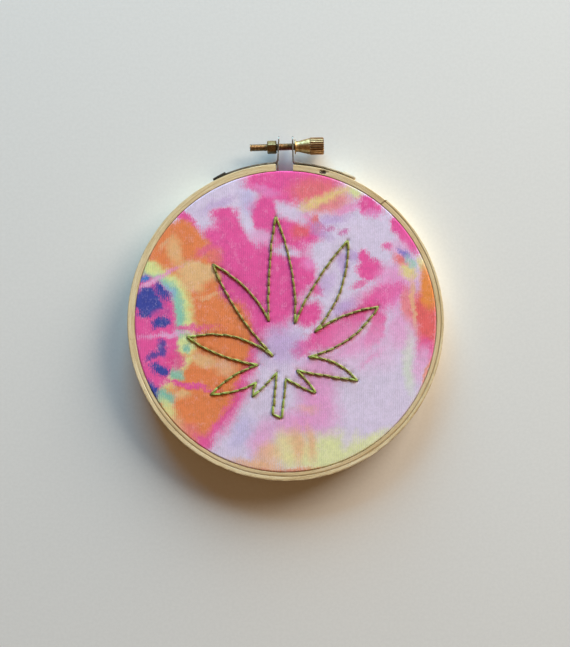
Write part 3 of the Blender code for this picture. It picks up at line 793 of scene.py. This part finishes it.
def steel_finish():
    steel = Finish("dull_steel")
    place = steel.place(HOOP_CENTRE)
    x, y, z = steel.split(place)
    turn = steel.maths("ARCTAN2", x, y)
    brushed = steel.noise(steel.vector(turn * 22, steel.maths("SQRT", x * x + y * y) * 0.4, z * 7), 1.0, 3.0, 0.6)
    stains = steel.noise(place, 0.7, 4.0, 0.6)
    stops = [(0.30, linear(92, 82, 70)), (0.52, linear(146, 138, 126)), (0.72, linear(196, 192, 184))]
    colour = steel.node("ShaderNodeValToRGB", {"stops": stops}, {0: brushed * 0.4 + stains * 0.6})
    # Painted shade: the left lug's tab and far strip are darkened where they lie in shade.
    left_tab_painted_shade = steel.ramp(turn, -0.42, -0.34, 0.85, 0.0)
    colour = steel.mix(left_tab_painted_shade, colour, linear(44, 34, 24))
    # Painted light and reflection: the right lug's strip is lightened from about 9 degrees past the top of the ring.
    bright = steel.ramp(turn, 0.16, 0.30) * 0.85
    colour = steel.mix(bright, colour, linear(232, 222, 196))
    steel.set(
        Base_Color=colour,
        Metallic=steel.ramp(stains, 0.30, 0.45, 0.55, 0.85),
        Roughness=steel.ramp(brushed, 0.3, 0.7, 0.34, 0.56),
        Normal=steel.bump(brushed, 0.015 * MM),
    )
    return steel.material


def ring_section(name, bore, radius, front):
    """A ring's section as a flat face: a square with round corners and fine columns across its front."""
    wall = radius - bore
    piece = added("plane", name, size=1, rotation=(math.pi / 2, 0, 0))
    piece.scale = (wall, front, 1)
    settle(piece, Matrix.Translation((bore + wall / 2, 0, front / 2)))
    edit(piece)
    bpy.ops.mesh.select_all(action="SELECT")
    bpy.ops.mesh.bevel(offset=RING_ROUNDING, segments=5, affect="VERTICES")
    level = 0.01 * MM
    bpy.ops.mesh.select_mode(type="EDGE")
    choose(piece, "edges", lambda edge: all(vert.co.z > front - level for vert in edge.verts))
    bpy.ops.mesh.subdivide(number_cuts=FRONT_CUTS)
    return piece


def outer_ring(finish):
    """A strip wound once and a bit round, split at the top, its front shaped along the windings' joint."""
    piece = ring_section("wound_outer_ring", OUTER_BORE, OUTER_RADIUS, RING_FRONT)
    bpy.ops.mesh.select_all(action="SELECT")
    bpy.ops.mesh.spin(steps=RING_STEPS, angle=-OUTER_SWEEP, center=(0, 0, 0), axis=(0, 0, 1))
    end_edit()
    piece.data.transform(Matrix.Rotation(OUTER_START, 4, "Z"))
    shape_outer_ring(piece)
    piece.data.transform(Matrix.Translation(HOOP_CENTRE))
    face_outwards(piece)
    shade(piece, 50)
    dress(piece, finish, "hoop", "wood", "outer_ring")


def shape_outer_ring(piece):
    points = points_of(piece)
    angle = np.degrees(np.arctan2(points[:, 1], points[:, 0]))
    turn = (angle + 90 + 180) % 360 - 180
    radius = np.hypot(points[:, 0], points[:, 1])
    wall = OUTER_RADIUS - OUTER_BORE
    share = (radius - OUTER_BORE) / wall
    spacing = math.degrees(OUTER_SWEEP) / RING_STEPS
    after = (turn > SCARF_TURN) & (turn < SCARF_TURN + spacing)
    before = (turn <= SCARF_TURN) & (turn > SCARF_TURN - spacing)
    turn = np.where(after, SCARF_TURN + 0.12, np.where(before, SCARF_TURN - 0.12, turn))
    columns = (points[:, 2] > RING_FRONT - 0.01 * MM) & (abs(share - 0.5) < 0.496 - RIM_SHARE)
    share = np.where(columns, groove_share(share, turn), share)
    line = 0.50 + turn * 0.0010
    wound = smooth_step(-85, -50, turn) * (turn < SCARF_TURN)
    groove = np.where(columns, np.clip(1 - np.abs(share - line) / 0.035, 0, 1), 0) * wound
    full = 0.40 * smooth_step(-95, -20, turn) * (1 - smooth_step(20, 95, turn)) - 0.06
    bared = 0.34 * (turn > SCARF_TURN)
    ripple = 0.05 * np.sin(np.radians(turn) * 5 + 1.0) + 0.03 * np.sin(np.radians(turn) * 13)
    radius = OUTER_BORE + share * wall + (share * (full - bared) + 0.25 * ripple) * MM
    knot_x, knot_y = knot_place()
    at = np.radians(turn - 90)
    x, y = radius * np.cos(at), radius * np.sin(at)
    away = np.hypot((x / MM - knot_x) * 0.44, (y / MM - knot_y) * 0.78)
    chip = np.where(points[:, 2] > RING_FRONT - 0.3 * MM, smooth_step(0.7, 0.2, away), 0)
    z = points[:, 2] - (0.14 * groove + 0.30 * chip) * MM - np.where(columns, 0.03 * MM * (ripple + 0.08), 0)
    move_points(piece, np.column_stack((x, y, z)))


def groove_share(share, turn):
    """Moves the front's columns so that three of them follow the joint between the windings."""
    low, high = RIM_SHARE, 1 - RIM_SHARE
    number = np.round((share - low) / (high - low) * (FRONT_CUTS + 1))
    line = 0.50 + turn * 0.0010
    middle = (FRONT_CUTS + 1) / 2
    inner = low + (line - 0.035 - low) * number / (middle - 1)
    outer = high - (high - line - 0.035) * (FRONT_CUTS + 1 - number) / (middle - 1)
    return np.where(number == middle, line, np.where(number < middle, inner, outer))


def inner_ring(finish):
    piece = ring_section("inner_wood_ring", INNER_BORE, INNER_RADIUS, INNER_RING_FRONT)
    bpy.ops.mesh.select_mode(type="FACE")
    bpy.ops.mesh.select_all(action="SELECT")
    bpy.ops.mesh.delete(type="ONLY_FACE")
    bpy.ops.mesh.select_mode(type="EDGE")
    bpy.ops.mesh.select_all(action="SELECT")
    bpy.ops.mesh.spin(steps=RING_STEPS, angle=-math.tau, center=(0, 0, 0), axis=(0, 0, 1))
    end_edit()
    piece.data.transform(Matrix.Translation(HOOP_CENTRE))
    face_outwards(piece)
    shade(piece, 50)
    dress(piece, finish, "hoop", "wood", "inner_ring")


def polar(direction, distance):
    angle = math.radians(direction)
    return LEAF_CENTRE + distance * MM * Vector((math.cos(angle), math.sin(angle)))


def bowed(start, end, bow):
    """A side of a leaflet from start to end, as a function of its share. It bows to the left as it runs."""
    run = end - start
    left = Vector((-run.y, run.x)).normalized()
    corner = (start + end) / 2 + 2 * bow * MM * left
    return lambda share: (1 - share) ** 2 * start + 2 * share * (1 - share) * corner + share**2 * end


def leaf_sides():
    """Each run of stitches of the leaf outline, clockwise round the leaf from the stem's left side."""
    sides = []
    notches = [polar(direction, distance) for _, direction, distance in NOTCHES]
    for (_, direction, length, bow_in, bow_out), before, after in zip(LEAFLETS, notches, notches[1:]):
        tip = polar(direction, length)
        sides += [bowed(before, tip, bow_in), bowed(tip, after, bow_out)]
    left_foot, right_foot = (polar(*corner) for corner in STEM_FOOT)
    sides += [bowed(notches[-1], right_foot, 0), bowed(right_foot, left_foot, 0)]
    sides.append(bowed(left_foot, notches[0], 0.1))
    return sides


def run_length(side, samples=24):
    points = [side(i / samples) for i in range(samples + 1)]
    return sum((after - before).length for before, after in zip(points, points[1:]))


def stitch_ends():
    """Start and end of every stitch, seen from the front, with how near it lies to a tip or a notch."""
    ends = []
    for side in leaf_sides():
        count = max(1, round(run_length(side) / STITCH_LENGTH))
        for number in range(count):
            nearness = 1.0 if number in (0, count - 1) else 0.0
            ends.append((side(number / count), side((number + 1) / count), nearness))
    return ends


def cloth(finish, ends):
    """Jersey drawn flat over the inner ring, bent down over its edge and hemmed between the rings."""
    flat_radius = CLOTH_RADIUS - CLOTH_SHOULDER
    piece = added(
        "grid", "stretched_jersey", x_subdivisions=CLOTH_CELLS, y_subdivisions=CLOTH_CELLS, size=2
    )
    square = points_of(piece)
    x, y = square[:, 0], square[:, 1]
    points = np.column_stack(
        (x * np.sqrt(1 - y * y / 2), y * np.sqrt(1 - x * x / 2), np.full(len(x), CLOTH_TOP / flat_radius))
    )
    move_points(piece, points * flat_radius)
    edit(piece, "EDGE")
    choose(piece, "edges", lambda edge: edge.is_boundary)
    rows = [
        (
            flat_radius + CLOTH_SHOULDER * math.sin(math.pi / 2 * i / SHOULDER_STEPS),
            CLOTH_TOP - CLOTH_SHOULDER * (1 - math.cos(math.pi / 2 * i / SHOULDER_STEPS)),
        )
        for i in range(1, SHOULDER_STEPS + 1)
    ]
    skirt = CLOTH_TOP - CLOTH_SHOULDER - CLOTH_HEM
    rows += [
        (CLOTH_RADIUS, CLOTH_TOP - CLOTH_SHOULDER - skirt * i / SKIRT_STEPS) for i in range(1, SKIRT_STEPS + 1)
    ]
    radius, height = flat_radius, CLOTH_TOP
    for next_radius, next_height in rows:
        extrude_by((0, 0, next_height - height))
        wider = next_radius / radius
        bpy.ops.transform.resize(value=(wider, wider, 1), center_override=(0, 0, next_height))
        radius, height = next_radius, next_height
    end_edit()
    sink_stitches(piece, ends)
    piece.data.transform(Matrix.Translation(HOOP_CENTRE))
    face_outwards(piece)
    add_modifier(piece, "SOLIDIFY", thickness=CLOTH_THICKNESS, offset=-1, use_quality_normals=True)
    apply_modifiers(piece)
    shade(piece, 60)
    dress(piece, finish, "hoop", "jersey", "cloth")


def sink_stitches(piece, ends):
    """Holes where the thread goes through, a furrow under each stitch, and a faint unevenness of the pull."""
    points = points_of(piece)
    flat = points[:, :2]
    pit = np.zeros(len(points))
    furrow = np.zeros(len(points))
    for start, end, _ in ends:
        a, b = np.array(start), np.array(end)
        share = np.clip(((flat - a) @ (b - a)) / ((b - a) @ (b - a)), 0, 1)
        away = np.linalg.norm(flat - a - share[:, None] * (b - a), axis=1)
        furrow = np.maximum(furrow, np.exp(-((away / FURROW_REACH) ** 2)))
        for hole in (a, b):
            pit = np.maximum(pit, np.exp(-((np.linalg.norm(flat - hole, axis=1) / HOLE_REACH) ** 2)))
    x, y = flat[:, 0] / MM, flat[:, 1] / MM
    pull = 0.02 * np.sin(x * 0.31 + 1.3 * np.sin(y * 0.11)) + 0.02 * np.sin(y * 0.27 + x * 0.09)
    inside = 1 - smooth_step(44, 50, np.hypot(x, y))
    points[:, 2] -= HOLE_DEPTH * pit + FURROW_DEPTH * furrow + np.maximum(0, pull + 0.03) * inside * MM
    move_points(piece, points)
    # The pit share is kept on the cloth for the jersey's painted shade in the holes.
    attribute = piece.data.attributes.new("pit", "FLOAT", "POINT")
    attribute.data.foreach_set("value", pit.astype(np.float32))


def modelled_stitch():
    """One stitch along X, a metre long in name only: plies twisted round each other that dive at both ends."""
    plies = []
    for ply in range(PLIES):
        piece = added(
            "circle",
            f"ply_{ply}",
            vertices=PLY_SIDES,
            radius=1,
            fill_type="NGON",
            rotation=(0, math.pi / 2, 0),
        )
        settle(piece)
        edit(piece)
        bpy.ops.mesh.select_all(action="SELECT")
        for _ in range(STITCH_STATIONS):
            extrude_by((1 / STITCH_STATIONS, 0, 0))
        end_edit()
        face_outwards(piece, merge=1e-5)
        lay_ply(piece, ply)
        plies.append(piece)
    stitch = joined(plies, "stitch_model")
    shade(stitch, 60)
    return stitch


def lay_ply(piece, ply):
    """Twists a straight ply round the stitch's own line. X stays a share of the stitch's length."""
    points = points_of(piece)
    along = points[:, 0].copy()
    around = np.arctan2(points[:, 2], points[:, 1])
    name_uv(piece, along, around)
    swell = 0.60 + 0.40 * np.sin(np.pi * np.clip(along, 0, 1)) ** 0.55
    phase = math.tau * ply / PLIES + 2.6 * along
    rim = THREAD_RADIUS * swell
    y = 0.50 * rim * np.cos(phase) + points[:, 1] * 0.54 * rim
    z = 0.42 * rim * np.sin(phase) + points[:, 2] * 0.50 * rim
    dive = np.abs(2 * along - 1) ** 4
    z = z + THREAD_RADIUS * (0.62 - 0.95 * dive)
    move_points(piece, np.column_stack((along, y, z)))


def name_uv(piece, along, around):
    """A UV map whose U runs along the thread and whose V runs round it."""
    layer = piece.data.uv_layers.get("thread") or piece.data.uv_layers.new(name="thread")
    turns = around / math.tau + 0.5
    for polygon in piece.data.polygons:
        shares = [turns[piece.data.loops[i].vertex_index] for i in polygon.loop_indices]
        wraps = max(shares) - min(shares) > 0.5
        for i, share in zip(polygon.loop_indices, shares):
            around_share = share + 1 if wraps and share < 0.5 else share
            layer.data[i].uv = (along[piece.data.loops[i].vertex_index], around_share)


def leaf_stitching(finish, ends):
    """Back stitch round the leaf: one modelled stitch, copied to each place with its own small unevenness."""
    model = modelled_stitch()
    chance = random.Random(7)
    copies = []
    for number, (start, end, nearness) in enumerate(ends):
        run = end - start
        mesh = model.data.copy()
        length = run.length + 2 * STITCH_OVERRUN * chance.uniform(0.6, 1.3)
        width = chance.uniform(0.88, 1.12)
        turn = math.atan2(run.y, run.x) + chance.uniform(-0.05, 0.05)
        middle = (start + end) / 2
        aside = chance.uniform(-0.11, 0.11) * MM
        place = (
            Matrix.Translation(HOOP_CENTRE + Vector((middle.x, middle.y, CLOTH_TOP - 0.06 * MM)))
            @ Matrix.Rotation(turn, 4, "Z")
            @ Matrix.Translation((-length / 2, aside, 0))
            @ Matrix.Diagonal((length, width, width, 1))
        )
        mesh.transform(place)
        low = 0.5 - 0.5 * math.tanh((middle.y / MM + 6) / 9)
        tint = min(1.0, max(0.0, chance.gauss(0.16 + 0.34 * low, 0.15) + 0.34 * nearness))
        attribute = mesh.attributes.new("tint", "FLOAT", "POINT")
        attribute.data.foreach_set("value", [tint] * len(mesh.vertices))
        copy = bpy.data.objects.new(f"stitch_{number}", mesh)
        bpy.context.scene.collection.objects.link(copy)
        copies.append(copy)
    bpy.data.objects.remove(model, do_unlink=True)
    piece = joined(copies, "back_stitched_leaf")
    dress(piece, finish, "hoop", "floss", "leaf_stitching")


def on_ring(angle, side, radius=STRIP_RADIUS):
    """A point on the strip's middle, at an angle from the top of the ring to the left or the right."""
    return Vector((side * radius * math.sin(angle), radius * math.cos(angle)))


def strip_along(name, path, width, thickness):
    """A flat strip of metal: an upright edge drawn along a path seen from the front, then thickened."""
    piece = added("plane", name, size=width, rotation=(0, math.pi / 2, 0))
    settle(piece)
    edit(piece)
    choose(piece, "verts", lambda vert: vert.co.y > 0)
    bpy.ops.mesh.delete(type="VERT")
    bpy.ops.mesh.select_all(action="SELECT")
    offset = Vector((path[0].x, path[0].y + width / 2, 0))
    bpy.ops.transform.translate(value=offset)
    for before, after in zip(path, path[1:]):
        extrude_by((after.x - before.x, after.y - before.y, 0))
    end_edit()
    face_outwards(piece)
    piece.data.transform(Matrix.Translation((0, 0, MID_DEPTH)))
    return piece


def thicken(piece, thickness):
    add_modifier(piece, "SOLIDIFY", thickness=thickness, offset=0, use_even_offset=True)
    apply_modifiers(piece)


def screw_hole(length):
    hole = added(
        "cylinder", "hole", vertices=48, radius=HOLE_RADIUS, depth=length, rotation=(0, math.pi / 2, 0)
    )
    settle(hole, Matrix.Translation(-HOOP_CENTRE) @ SCREW_PLACE)
    return hole


def lug(finish, name):
    """An ear with the screw's hole, on a strip that hugs the ring and ends in a folded tab."""
    side, foot_x, top_x, far_angle, sunk = LUGS[name]
    foot = Vector((foot_x, math.sqrt(STRIP_RADIUS**2 - foot_x**2)))
    top = Vector((top_x, EAR_TOP))
    flange = Vector((foot_x, foot.y - FLANGE_LENGTH)) if name == "left" else None
    foot_angle = math.asin(abs(foot_x) / STRIP_RADIUS)
    bend_angle = foot_angle + STRIP_BEND / STRIP_RADIUS
    steps = 18
    hug = [on_ring(far_angle + (bend_angle - far_angle) * i / steps, side) for i in range(steps + 1)]
    up = foot + (top - foot).normalized() * STRIP_BEND
    curve = [
        (1 - t) ** 2 * hug[-1] + 2 * t * (1 - t) * foot + t**2 * up for t in (i / 6 for i in range(1, 7))
    ]
    ear = [up + (top - up) * i / 4 for i in range(1, 5)]
    piece = strip_along(f"{name}_ear_strip", hug + curve + ear, STRIP_WIDTH, STRIP_THICKNESS)
    edit(piece)
    choose(piece, "verts", lambda vert: vert.co.y > EAR_TOP - 0.01 * MM)
    bpy.ops.mesh.bevel(offset=EAR_ROUNDING * 0.85, segments=7, affect="VERTICES")
    end_edit()
    thicken(piece, STRIP_THICKNESS)
    tab_radius = STRIP_RADIUS + (STRIP_THICKNESS + TAB_THICKNESS) / 2 - 0.03 * MM
    tab_path = [on_ring(far_angle - TAB_ANGLE * i / 6, side, tab_radius - sunk * (1 - i / 6)) for i in range(7)]
    tab = strip_along("tab", tab_path, STRIP_WIDTH - 0.1 * MM, TAB_THICKNESS)
    thicken(tab, TAB_THICKNESS)
    cut(piece, tab, "UNION")
    if flange is not None:
        plate = strip_along("flange", [flange, (flange + foot) / 2, foot], STRIP_WIDTH - 0.1 * MM, STRIP_THICKNESS)
        thicken(plate, STRIP_THICKNESS)
        cut(piece, plate, "UNION")
    cut(piece, screw_hole(30 * MM))
    add_modifier(
        piece, "BEVEL", width=0.07 * MM, segments=2, limit_method="ANGLE", angle_limit=math.radians(40)
    )
    apply_modifiers(piece)
    piece.data.transform(Matrix.Translation(HOOP_CENTRE))
    shade(piece, 40)
    dress(piece, finish, "hoop", "lug_steel", f"{name}_lug")


def nut(finish):
    """A six-sided nut with rounded ends, held against the left ear."""
    piece = added(
        "cylinder", "hex_nut", vertices=6, radius=NUT_CORNER_RADIUS, depth=NUT_LENGTH, rotation=(0, math.pi / 2, 0)
    )
    settle(piece)
    edit(piece, "EDGE")
    level = NUT_LENGTH / 2 - 0.01 * MM
    choose(piece, "edges", lambda edge: abs(sum(vert.co.x for vert in edge.verts)) > 2 * level)
    bpy.ops.mesh.bevel(offset=0.42 * MM, segments=4, affect="EDGES")
    choose(piece, "edges", lambda edge: abs(edge.verts[0].co.x - edge.verts[1].co.x) > NUT_LENGTH / 2)
    bpy.ops.mesh.bevel(offset=0.12 * MM, segments=3, affect="EDGES")
    end_edit()
    place = Matrix.Translation((NUT_END - NUT_LENGTH / 2, 0, 0)) @ Matrix.Rotation(NUT_TURN, 4, "X")
    piece.data.transform(Matrix.Translation(-HOOP_CENTRE) @ SCREW_PLACE @ place)
    cut(piece, screw_hole(30 * MM))
    piece.data.transform(Matrix.Translation(HOOP_CENTRE))
    shade(piece, 30)
    dress(piece, finish, "hoop", "screw_brass", "nut")


def drawn_along_x(name, sides, rows):
    """A round bar along X, drawn out from a disc. Rows hold x and radius."""
    first_x, first_radius = rows[0]
    piece = added(
        "circle",
        name,
        vertices=sides,
        radius=first_radius,
        fill_type="NGON",
        location=(first_x, 0, 0),
        rotation=(0, math.pi / 2, 0),
    )
    settle(piece)
    edit(piece, "FACE")
    bpy.ops.mesh.select_all(action="SELECT")
    for (x, radius), (next_x, next_radius) in zip(rows, rows[1:]):
        extrude_by((next_x - x, 0, 0))
        wider = next_radius / radius
        bpy.ops.transform.resize(value=(1, wider, wider), center_override=(next_x, 0, 0))
    end_edit()
    face_outwards(piece)
    return piece


def threaded_rod():
    samples = 8
    count = round((COLLAR_START + 0.2 * MM - ROD_START) / THREAD_PITCH * samples)
    step = (COLLAR_START + 0.2 * MM - ROD_START) / count
    rows = [(ROD_START, ROD_RADIUS - 0.3 * MM)]
    rows += [(ROD_START + step * i, ROD_RADIUS) for i in range(1, count + 1)]
    piece = drawn_along_x("threaded_rod", 28, rows)
    points = points_of(piece)
    radius = np.hypot(points[:, 1], points[:, 2])
    turn = np.arctan2(points[:, 2], points[:, 1]) / math.tau
    phase = (points[:, 0] / THREAD_PITCH - turn) % 1
    valley = np.clip(np.abs(phase - 0.5) * 2.6 - 0.3, 0, 1)
    start = smooth_step(ROD_START, ROD_START + 0.5 * MM, points[:, 0])
    scale = (radius - THREAD_DEPTH * valley * start) / radius
    points[:, 1:] *= scale[:, None]
    move_points(piece, points)
    return piece


def screw_head():
    """Collar, waisted neck and fluted grip in one, with a screwdriver slot in its end."""
    edge = 0.18 * MM
    rows = [
        (COLLAR_START, COLLAR_RADIUS - edge),
        (COLLAR_START + 0.07 * MM, COLLAR_RADIUS),
        (COLLAR_END - 0.07 * MM, COLLAR_RADIUS),
        (COLLAR_END, COLLAR_RADIUS - edge),
        (COLLAR_END + 0.02 * MM, NECK_RADIUS + 0.12 * MM),
        (COLLAR_END + 0.35 * MM, NECK_RADIUS),
        (COLLAR_END + 1.2 * MM, NECK_RADIUS + 0.08 * MM),
    ]
    cone_start = COLLAR_END + 1.2 * MM
    for i in range(1, 7):
        share = i / 6
        bell = NECK_RADIUS + 0.08 * MM + (HEAD_RADIUS - FLUTE_DEPTH - NECK_RADIUS) * share**0.9
        rows.append((cone_start + (NECK_END - 0.3 * MM - cone_start) * share, bell))
    rows += [
        (NECK_END, HEAD_RADIUS - 0.22 * MM),
        (NECK_END + 0.25 * MM, HEAD_RADIUS),
        (NECK_END + 0.6 * MM, HEAD_RADIUS),
        (HEAD_END - 0.6 * MM, HEAD_RADIUS),
        (HEAD_END - 0.25 * MM, HEAD_RADIUS),
        (HEAD_END, HEAD_RADIUS - 0.30 * MM),
        (HEAD_END, HEAD_RADIUS - 0.60 * MM),
        (HEAD_END - 0.12 * MM, HEAD_RADIUS - 0.75 * MM),
    ]
    piece = drawn_along_x("screw_head", FLUTES * 8, rows)
    points = points_of(piece)
    radius = np.hypot(points[:, 1], points[:, 2])
    flute = (np.arctan2(points[:, 2], points[:, 1]) / math.tau * FLUTES) % 1
    groove = smooth_step(0.22, 0.46, 0.5 - np.abs(flute - 0.5))
    depth = FLUTE_DEPTH * smooth_step(HEAD_RADIUS - 0.5 * MM, HEAD_RADIUS, radius)
    scale = 1 - np.where(points[:, 0] > NECK_END + 0.1 * MM, depth * groove, 0) / radius
    points[:, 1:] *= scale[:, None]
    move_points(piece, points)
    slot = added("cube", "slot", size=1, location=(HEAD_END, 0, 0))
    slot.scale = (1.6 * MM, 8 * MM, 0.8 * MM)
    settle(slot)
    cut(piece, slot)
    return piece


def thumb_screw(finish):
    piece = threaded_rod()
    cut(piece, screw_head(), "UNION")
    piece.name = "brass_thumb_screw"
    piece.data.transform(SCREW_PLACE)
    shade(piece, 38)
    dress(piece, finish, "thumb_screw", "screw_brass", "thumb_screw")


def floor():
    piece = added("plane", "pale_table", size=40, location=(0, 0, -0.02 * MM))
    table = Finish("pale_table")
    paper = table.noise(table.place(), 0.9, 4.0, 0.6)
    colour = table.mix(table.ramp(paper, 0.3, 0.7), linear(226, 225, 222), linear(230, 229, 226))
    table.set(Base_Color=colour, Roughness=0.85)
    piece.data.materials.append(table.material)


def area_light(name, azimuth, elevation, distance, size, power, colour):
    """A soft lamp that looks at the hoop from a direction in degrees."""
    data = bpy.data.lights.new(name, "AREA")
    data.shape = "SQUARE"
    data.size = size
    data.energy = power
    data.color = colour
    lamp = bpy.data.objects.new(name, data)
    lamp.visible_camera = False
    across = math.cos(math.radians(elevation))
    direction = Vector(
        (
            across * math.cos(math.radians(azimuth)),
            across * math.sin(math.radians(azimuth)),
            math.sin(math.radians(elevation)),
        )
    )
    lamp.location = HOOP_CENTRE + distance * direction
    lamp.rotation_euler = direction.to_track_quat("Z", "Y").to_euler()
    bpy.context.scene.collection.objects.link(lamp)


def lights():
    area_light("window_light", 98, 19, 1.70, 1.10, 26.5, (0.46, 1.0, 1.42))
    area_light("warm_light", 47, 20.5, 1.80, 1.22, 48.5, (1.0, 0.91, 0.78))
    world = bpy.data.worlds.new("room")
    world.use_nodes = True
    background = world.node_tree.nodes["Background"]
    background.inputs["Color"].default_value = (0.195, 0.112, 0.054, 1.0)
    bpy.context.scene.world = world
    bpy.context.scene.view_settings.view_transform = "Standard"


def camera():
    data = bpy.data.cameras.new("camera")
    data.sensor_fit = "VERTICAL"
    data.sensor_height = SENSOR_HEIGHT
    data.lens = SENSOR_HEIGHT * CAMERA_DISTANCE / VIEW_HEIGHT
    obj = bpy.data.objects.new("camera", data)
    back = Vector((0, -math.sin(CAMERA_TILT), math.cos(CAMERA_TILT)))
    obj.location = VIEW_CENTRE + CAMERA_DISTANCE * back
    obj.rotation_euler = back.to_track_quat("Z", "Y").to_euler()
    bpy.context.scene.collection.objects.link(obj)
    bpy.context.scene.camera = obj


def build():
    camera()
    lights()
    floor()
    wood = wood_finish()
    outer_ring(wood)
    inner_ring(wood)
    ends = stitch_ends()
    cloth(jersey_finish(), ends)
    leaf_stitching(floss_finish(), ends)
    steel = steel_finish()
    lug(steel, "left")
    lug(steel, "right")
    brass = brass_finish()
    nut(brass)
    thumb_screw(brass)


build()
